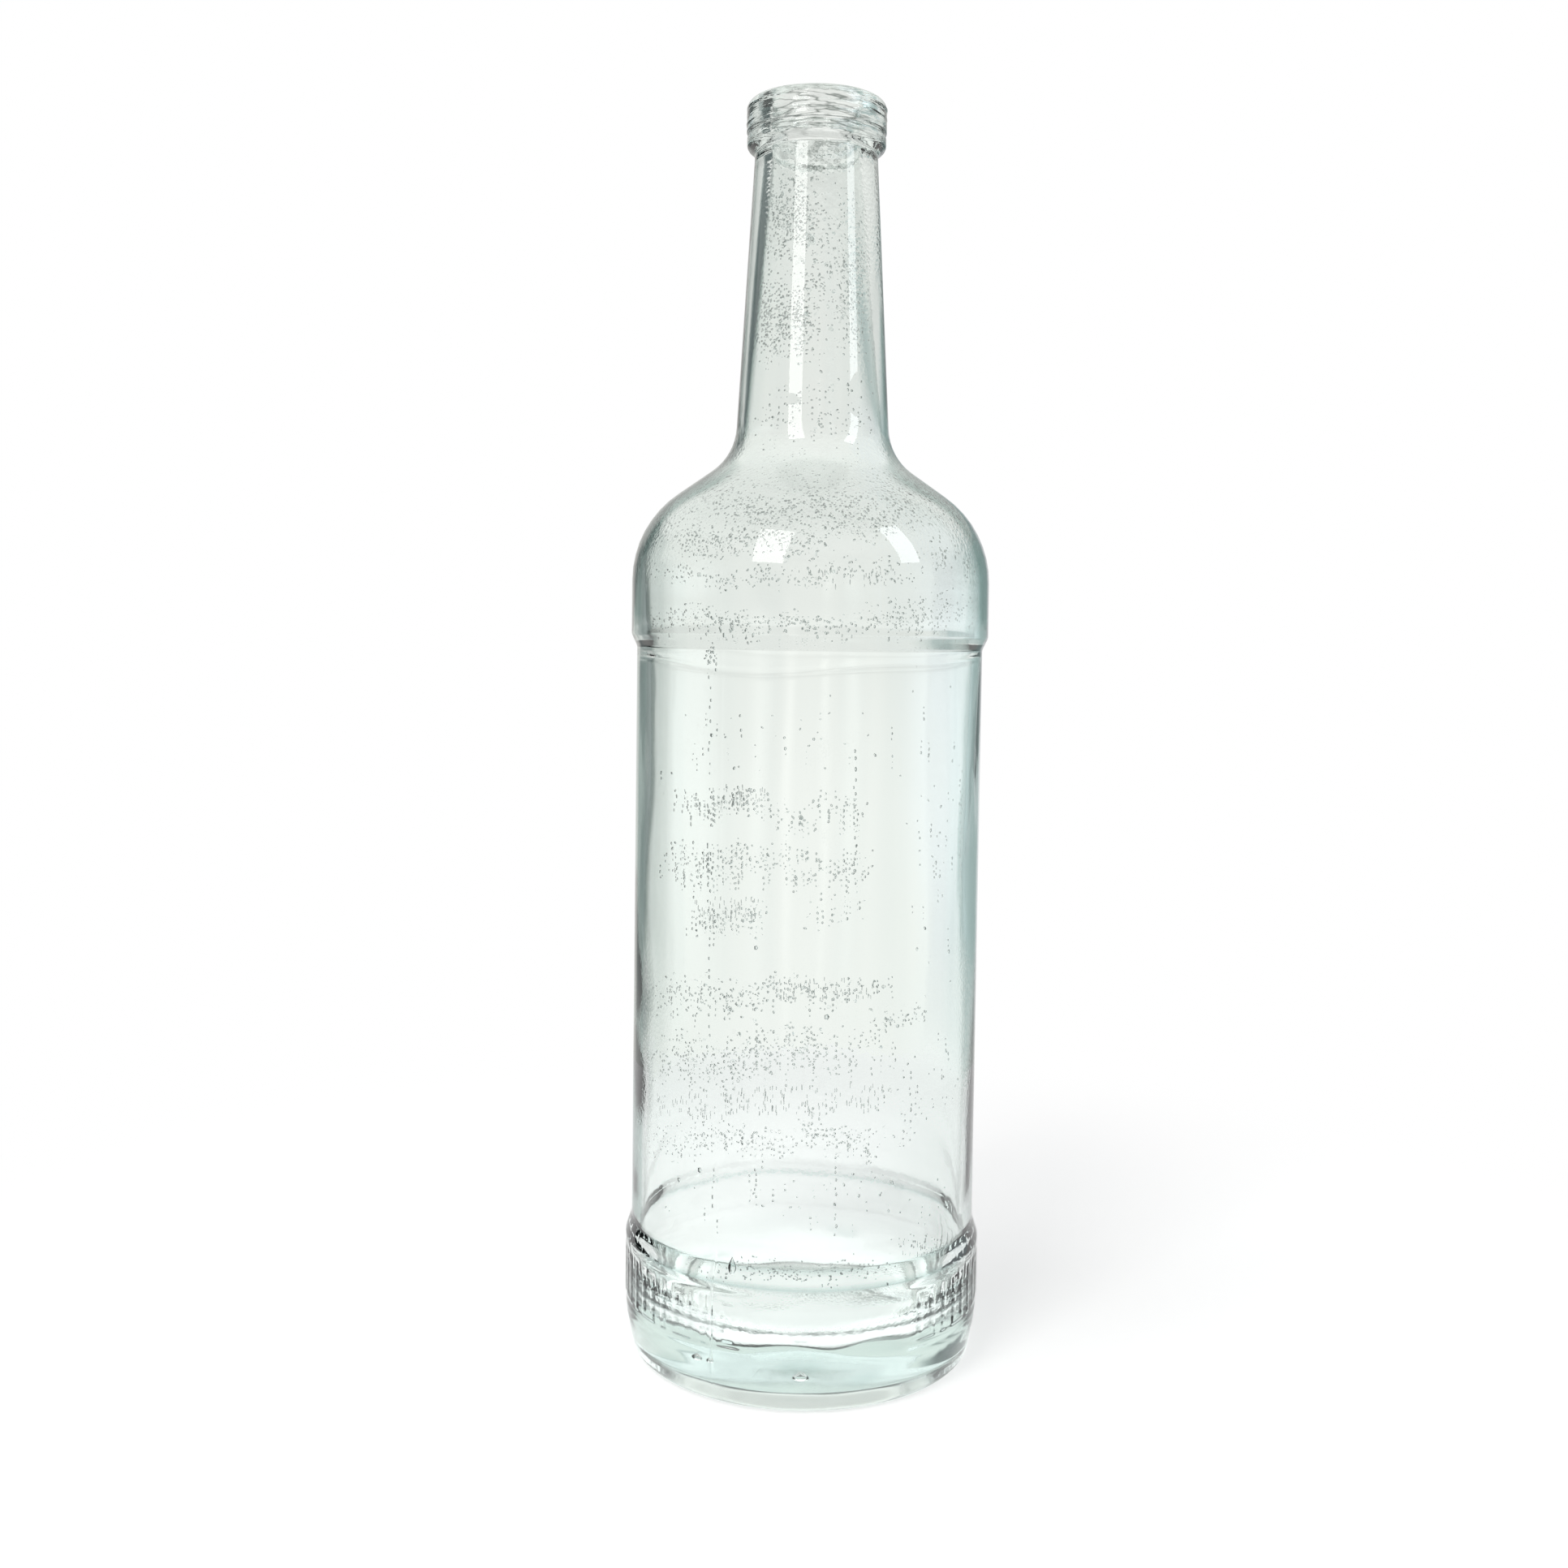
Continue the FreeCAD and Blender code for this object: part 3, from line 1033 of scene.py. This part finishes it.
def inside_hits(tree, camera, across, down):
    """Where the sight line through a place in the photograph meets the inside of the glass."""
    ray = photo_ray(camera, across, down)
    start = camera.matrix_world.translation.copy()
    hits = []
    while True:
        place, normal, _, _ = tree.ray_cast(start, ray)
        if place is None:
            return hits
        outward = Vector((place.x, place.y, 0.0))
        on_floor = normal.z > FLOOR_FLAT and place.z < FLOOR_LIMIT * MM
        if normal.dot(outward) < 0.0 or on_floor:
            hits.append((place, normal))
        start = place + ray * SIGHT_STEP


def add_drop(vertices, faces, place, normal, radius, tall, stretch, turn):
    """One drop that clings to the glass: a flat foot and a low dome."""
    up = Vector((0.0, 0.0, 1.0)) if abs(normal.z) < LEVEL_NORMAL else Vector((0.0, 1.0, 0.0))
    along = (up - normal * up.dot(normal)).normalized()
    along = Matrix.Rotation(turn, 3, normal) @ along
    aside = normal.cross(along)
    foot = place + normal * DROP_LIFT * MM
    first = len(vertices)
    for share, rise in DROP_RINGS:
        for side in range(DROP_SIDES):
            angle = 2 * math.pi * side / DROP_SIDES
            flat = aside * math.cos(angle) + along * math.sin(angle) * stretch
            vertices.append(foot + (flat * share * radius + normal * rise * tall) * MM)
    vertices.append(foot + normal * tall * MM)
    top = len(vertices) - 1
    faces.append(tuple(first + side for side in reversed(range(DROP_SIDES))))
    for side in range(DROP_SIDES):
        following = (side + 1) % DROP_SIDES
        above = first + DROP_SIDES
        faces.append((first + side, first + following, above + following, above + side))
        faces.append((above + side, above + following, top))


def make_drops(shell, camera):
    """Small water drops that cling to the inside, in the patches and trickles of the photograph."""
    chance = random.Random(SEED)
    corners = [vertex.co.copy() for vertex in shell.data.vertices]
    tree = BVHTree.FromPolygons(corners, [tuple(polygon.vertices) for polygon in shell.data.polygons])
    vertices = []
    faces = []

    def cling(across, down, radius, stretch, turn, front):
        hits = inside_hits(tree, camera, across, down)
        if len(hits) < 2:
            return
        place, normal = hits[0] if front else hits[1]
        add_drop(vertices, faces, place, normal, radius, radius * DROP_TALL, stretch, turn)

    for left, top, right, bottom, number, radius, trail in DROP_PATCHES:
        for _ in range(int(number * DROP_COUNT)):
            share = chance.random() + PATCH_SOFT * (chance.random() - 0.5)
            across = left + (right - left) * share
            down = top + (bottom - top) * (chance.random() + chance.random()) / 2
            down += PATCH_WAVE * math.sin(across / 19.0 + top)
            front = chance.random() < FRONT_SHARE
            length = 1
            if chance.random() < trail:
                length = chance.randint(2, 3)
            for link in range(length):
                size = radius * DROP_SIZE * chance.uniform(*DROP_SIZES)
                stretch = chance.uniform(*DROP_STRETCH)
                swing = TRAIL_TURN if length > 1 else DROP_TURN
                turn = chance.uniform(-swing, swing)
                aside = chance.uniform(-TRAIL_SPREAD, TRAIL_SPREAD)
                cling(across + aside, down + link * TRAIL_SPACING, size, stretch, turn, front)
    for left, top, right, bottom, number in DASH_PATCHES:
        for _ in range(number):
            across = chance.uniform(left, right)
            down = chance.uniform(top, bottom)
            size = chance.uniform(*DASH_SIZES)
            stretch = chance.uniform(*DASH_STRETCH)
            cling(across, down, size, stretch, chance.uniform(-DASH_TURN, DASH_TURN), True)
    for across, top, bottom, spacing in TRICKLES:
        down = top
        while down < bottom:
            size = chance.uniform(*TRICKLE_SIZES)
            aside = chance.uniform(-TRICKLE_SPREAD, TRICKLE_SPREAD)
            cling(across + aside, down, size, chance.uniform(*TRICKLE_STRETCH), 0.0, True)
            down += spacing * chance.uniform(*TRICKLE_GAPS)
    for across, down, radius in LONE_DROPS:
        cling(across, down, radius, LONE_STRETCH, 0.0, True)
    return build_mesh("water_drops", vertices, faces)


def make_camera():
    """The camera that took the photograph."""
    data = bpy.data.cameras.new("photo_camera")
    data.sensor_width = SENSOR_WIDTH
    data.lens = FOCAL_PIXELS / PHOTO_SIDE * SENSOR_WIDTH
    data.shift_y = CAMERA_SHIFT
    data.clip_start = CAMERA_NEAR
    camera = bpy.data.objects.new("photo_camera", data)
    bpy.context.collection.objects.link(camera)
    turn = Matrix.Rotation(CAMERA_YAW, 4, "Z")
    turn @= Matrix.Rotation(math.pi / 2 - CAMERA_PITCH, 4, "X")
    turn @= Matrix.Rotation(CAMERA_ROLL, 4, "Z")
    camera.matrix_world = Matrix.Translation(CAMERA_PLACE) @ turn
    bpy.context.scene.camera = camera
    return camera


# Studio: ring of pale panels round the bottle, each from an angle on, in degrees from straight behind it
WHITE_PANEL = (0.995, 1.0, 0.97)
REAR_GREY = (0.80, 0.84, 0.83)
DARK = (0.04, 0.05, 0.05)
SLATE = (0.11, 0.15, 0.15)
DUSK = (0.40, 0.45, 0.44)
SKY = (0.955, 0.985, 1.0)
TEAL = (0.46, 0.58, 0.57)
PALE_TEAL = (0.54, 0.64, 0.63)
REAR_LEFT = [
    (-160.0, REAR_GREY),
    (-140.0, WHITE_PANEL),
    (-130.0, REAR_GREY),
    (-110.0, WHITE_PANEL),
]
REAR_RIGHT = [
    (110.0, REAR_GREY),
    (130.0, WHITE_PANEL),
    (140.0, REAR_GREY),
    (160.0, WHITE_PANEL),
]
LEFT_LOW = [
    (-76.0, DARK),
    (-44.0, DUSK),
    (-26.0, WHITE_PANEL),
]
LEFT_HIGH = [
    (-66.0, SLATE),
    (-37.0, DUSK),
    (-32.0, WHITE_PANEL),
]
RIGHT_HIGH = [
    (10.0, PALE_TEAL),
    (72.0, WHITE_PANEL),
]
RIGHT_LOW = [
    (7.0, SKY),
    (21.0, TEAL),
    (44.0, PALE_TEAL),
    (72.0, WHITE_PANEL),
]
PANEL_SOFT = 2.5
NECK_FOOT = (0.16, 0.20)
RIGHT_TOP = (0.25, 0.28)
LEFT_TOP = (0.37, 0.395)
PANEL_FOOT = (-0.18, -0.28)

# Soft windows that only the gloss of the glass shows, as angles and colours
WARM = (1.0, 0.98, 0.94)
COOL = (0.86, 0.94, 1.0)
NONE = (0.0, 0.0, 0.0)
SHEEN = [
    (-172.5, NONE),
    (-167.7, WARM),
    (-163.0, NONE),
    (-157.0, NONE),
    (-148.0, WARM),
    (-139.0, NONE),
    (36.0, NONE),
    (64.0, COOL),
    (92.0, COOL),
    (116.0, NONE),
]

# Room's brightness from straight below, at 0, past the level of the bottle, at 0.5, to straight above, at 1
ROOM_LEVELS = [
    (0.0, 0.93),
    (0.45, 0.92),
    (0.49, 0.87),
    (0.52, 0.8196),
    (0.636, 0.8093),
    (0.645, 0.7293),
    (0.66, 0.7493),
    (0.69, 0.85),
    (0.74, 0.94),
    (0.82, 0.94),
    (0.87, 0.72),
    (1.0, 0.70),
]
SHEEN_LEVELS = [
    (0.34, 0.0),
    (0.40, 0.35),
    (0.45, 0.9),
    (0.49, 1.0),
    (0.515, 0.0),
]
FILL_LEVEL = 0.15
PURE_WHITE = (1.0, 1.0, 1.0)


def around_share(angle):
    """Place of an angle, in degrees, on a ramp round the ring."""
    return angle / 360.0 + 0.5


def panel_stops(panels):
    """Positions and colours of a ramp round the ring, soft where one panel meets the next."""
    stops = []
    before = panels[-1][1]
    for start, colour in panels:
        stops.append((around_share(start - PANEL_SOFT), before))
        stops.append((around_share(start + PANEL_SOFT), colour))
        before = colour
    return stops


def blend(tree, height, limits, first, second):
    """Colour that passes from the first to the second between two heights on the ring."""
    return mixed(tree, mapped(tree, height, limits, WHOLE), first, second)


def backdrop(tree, colour, strength):
    """Light of a colour from all round."""
    node = tree.nodes.new("ShaderNodeBackground")
    feed(tree, colour, node.inputs["Color"])
    feed(tree, strength, node.inputs["Strength"])
    return node.outputs["Background"]


def chosen(tree, share, first, second):
    """Light that passes from the first to the second as the share grows."""
    node = tree.nodes.new("ShaderNodeMixShader")
    feed(tree, share, node.inputs["Fac"])
    feed(tree, first, node.inputs[1])
    feed(tree, second, node.inputs[2])
    return node.outputs["Shader"]


def added(tree, first, second):
    """Light of both."""
    node = tree.nodes.new("ShaderNodeAddShader")
    feed(tree, first, node.inputs[0])
    feed(tree, second, node.inputs[1])
    return node.outputs["Shader"]


def sight(tree):
    """Whether the camera, the gloss of the glass, or the glass in any way is what looks."""
    path = tree.nodes.new("ShaderNodeLightPath")
    gloss = path.outputs["Is Glossy Ray"]
    glass = sum_of(tree, "MAXIMUM", gloss, path.outputs["Is Transmission Ray"])
    return path.outputs["Is Camera Ray"], gloss, glass


def make_world():
    """White to the camera, a room of pale panels to the glass, and a weak fill for the floor."""
    world = bpy.data.worlds.new("studio")
    bpy.context.scene.world = world
    world.use_nodes = True
    tree = world.node_tree
    tree.nodes.clear()
    output = tree.nodes.new("ShaderNodeOutputWorld")
    place = tree.nodes.new("ShaderNodeTexCoord")
    split = tree.nodes.new("ShaderNodeSeparateXYZ")
    feed(tree, place.outputs["Generated"], split.inputs["Vector"])
    upright = split.outputs["Z"]
    heading = sum_of(tree, "ARCTAN2", split.outputs["X"], split.outputs["Y"])
    around = sum_of(tree, "MULTIPLY_ADD", heading, 0.5 / math.pi, 0.5)
    rise = sum_of(tree, "MULTIPLY_ADD", upright, 0.5, 0.5)
    rings = []
    for sides in (LEFT_LOW + RIGHT_LOW, LEFT_HIGH + RIGHT_HIGH, LEFT_HIGH):
        rings.append(ramped(tree, around, panel_stops(REAR_LEFT + sides + REAR_RIGHT)))
    walls = blend(tree, upright, NECK_FOOT, rings[0], rings[1])
    walls = blend(tree, upright, RIGHT_TOP, walls, rings[2])
    walls = blend(tree, upright, LEFT_TOP, walls, WHITE_PANEL)
    walls = blend(tree, upright, PANEL_FOOT, walls, WHITE_PANEL)
    camera_looks, gloss_looks, glass_looks = sight(tree)
    panels = backdrop(tree, walls, ramped(tree, rise, ROOM_LEVELS))
    room = chosen(tree, glass_looks, backdrop(tree, PURE_WHITE, FILL_LEVEL), panels)
    sheen_colour = ramped(tree, around, [(around_share(angle), colour) for angle, colour in SHEEN])
    sheen_level = sum_of(tree, "MULTIPLY", ramped(tree, rise, SHEEN_LEVELS), gloss_looks)
    lit = added(tree, room, backdrop(tree, sheen_colour, sheen_level))
    seen = chosen(tree, camera_looks, lit, backdrop(tree, PURE_WHITE, 1.0))
    feed(tree, seen, output.inputs["Surface"])


# Floor: its painted glow to the glass, brightest under the bottle's foot and dimmer further out, from the
# middle, at 0, to the rim, at 1
FLOOR_RADIUS = 0.30
FLOOR_SIDES = 96
FLOOR_PLAIN = 0.14
FLOOR_GLOW = 0.585
FLOOR_DROP = 0.00005
FLOOR_WHITE = 0.8
FLOOR_GLOW_IN_GLASS = [
    (0.0, 0.72),
    (0.08, 0.72),
    (0.105, 0.97),
    (0.15, 0.97),
    (0.20, 0.62),
    (0.27, 0.50),
    (0.30, 0.49),
    (0.345, 0.49),
    (0.40, 0.50),
    (0.47, 0.50),
    (1.0, 0.92),
]


def floor_material():
    """Matt white that fades out to the rim, with a glow that makes up for it to the camera, and a painted
    glow to the glass.
    """
    material = bpy.data.materials.new("studio_floor")
    material.use_nodes = True
    tree = material.node_tree
    tree.nodes.clear()
    output = tree.nodes.new("ShaderNodeOutputMaterial")
    length = tree.nodes.new("ShaderNodeVectorMath")
    length.operation = "LENGTH"
    feed(tree, object_place(tree), length.inputs[0])
    apart = length.outputs["Value"]
    spread = mapped(tree, apart, (FLOOR_PLAIN, FLOOR_RADIUS), WHOLE, "SMOOTHSTEP")
    paint = tree.nodes.new("ShaderNodeBsdfDiffuse")
    feed(tree, ramped(tree, spread, [(0.0, FLOOR_WHITE), (1.0, 0.0)]), paint.inputs["Color"])
    camera_looks, _, glass_looks = sight(tree)
    direct = sum_of(tree, "MULTIPLY", mapped(tree, spread, WHOLE, (FLOOR_GLOW, 1.0)), camera_looks)
    # Painted light to the glass: a pool of glow under the bottle, dimmer further out
    painted_glow = ramped(tree, sum_of(tree, "DIVIDE", apart, FLOOR_RADIUS), FLOOR_GLOW_IN_GLASS)
    glow = tree.nodes.new("ShaderNodeEmission")
    feed(tree, sum_of(tree, "MULTIPLY_ADD", glass_looks, painted_glow, direct), glow.inputs["Strength"])
    both = added(tree, paint.outputs["BSDF"], glow.outputs["Emission"])
    feed(tree, both, output.inputs["Surface"])
    return material


def make_floor():
    """Plain white floor that keeps the bottle's shadow and runs out into the white round it."""
    rim = []
    for side in range(FLOOR_SIDES):
        angle = 2 * math.pi * side / FLOOR_SIDES
        rim.append((FLOOR_RADIUS * math.cos(angle), FLOOR_RADIUS * math.sin(angle), -FLOOR_DROP))
    floor = build_mesh("studio_floor", rim, [tuple(range(FLOOR_SIDES))])
    floor.data.materials.append(floor_material())


# Lamps: name, heading in degrees, distance, height, width, length, radiance, colour
WINDOW_LEFT = ("window_left", -27.0, 1.2, 0.95, 0.50, 0.85, 5.2, (1.0, 0.99, 0.97))
WINDOW_RIGHT = ("window_right", 66.0, 1.2, 0.95, 0.34, 0.85, 4.6, (0.92, 0.97, 1.0))
SOFT_KEY = ("soft_key", -60.0, 0.55, 1.15, 0.7, 0.7, 2.65, PURE_WHITE)

# They aim at the bottle's middle, or level where they hang lower
AIM_HEIGHT = 0.2


def make_lamp(name, heading, distance, height, width, length, radiance, colour):
    """A soft window that faces the bottle, at a heading from the camera's side of it."""
    data = bpy.data.lights.new(name, "AREA")
    data.shape = "RECTANGLE"
    data.size = width
    data.size_y = length
    data.energy = radiance * math.pi * width * length
    data.color = colour
    lamp = bpy.data.objects.new(name, data)
    bpy.context.collection.objects.link(lamp)
    angle = heading * DEGREE
    place = Vector((math.sin(angle) * distance, -math.cos(angle) * distance, height))
    facing = place - Vector((0.0, 0.0, min(height, AIM_HEIGHT)))
    lamp.matrix_world = Matrix.Translation(place) @ facing.to_track_quat("Z", "Y").to_matrix().to_4x4()
    lamp.visible_camera = False
    lamp.visible_transmission = False
    return lamp


camera = make_camera()
shell = make_shell()
shell.data.materials.append(glass_material())
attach(shell, BODY)
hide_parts(NODE)

drops = make_drops(shell, camera)
drops.data.materials.append(water_material())
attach(drops, BODY)

make_world()
make_floor()
make_lamp(*WINDOW_LEFT)
make_lamp(*WINDOW_RIGHT)
key = make_lamp(*SOFT_KEY)
key.visible_glossy = False

bpy.context.scene.view_settings.view_transform = "Standard"
